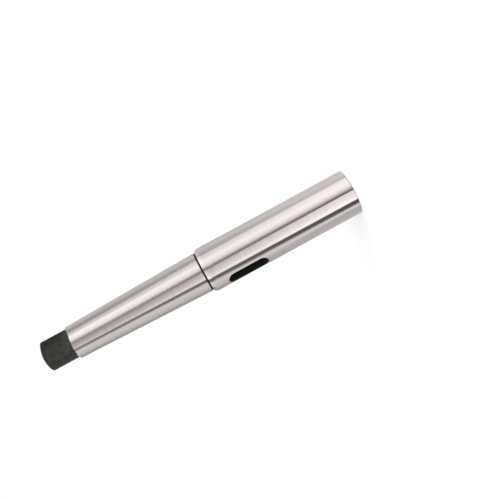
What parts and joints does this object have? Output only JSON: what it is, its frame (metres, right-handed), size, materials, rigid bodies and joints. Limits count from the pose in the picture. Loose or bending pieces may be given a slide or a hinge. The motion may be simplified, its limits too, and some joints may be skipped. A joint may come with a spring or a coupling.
{
  "type": "morse taper sleeve",
  "caption": "Extension sleeve for taper-shank drills: a tapered shank with a flat tang, a straight round body with a drift slot, and a tapered socket in the body's end.",
  "frame": {"origin": "centre of the socket's mouth face, the flat ring that the sleeve stands on", "axes": "+Z along the axis from the socket's mouth to the tip of the tang; the drift slot goes through along X; the tang's flats face +Y and -Y"},
  "size_m": [0.02, 0.02, 0.1477],
  "materials": {
    "ground_steel": "hardened tool steel, cylindrically ground on the body and the shank's cone, black oxide left on the milled tang and in the drift slot"
  },
  "bodies": {
    "root": {"extension_sleeve": "ground_steel"}
  },
  "joints": []
}
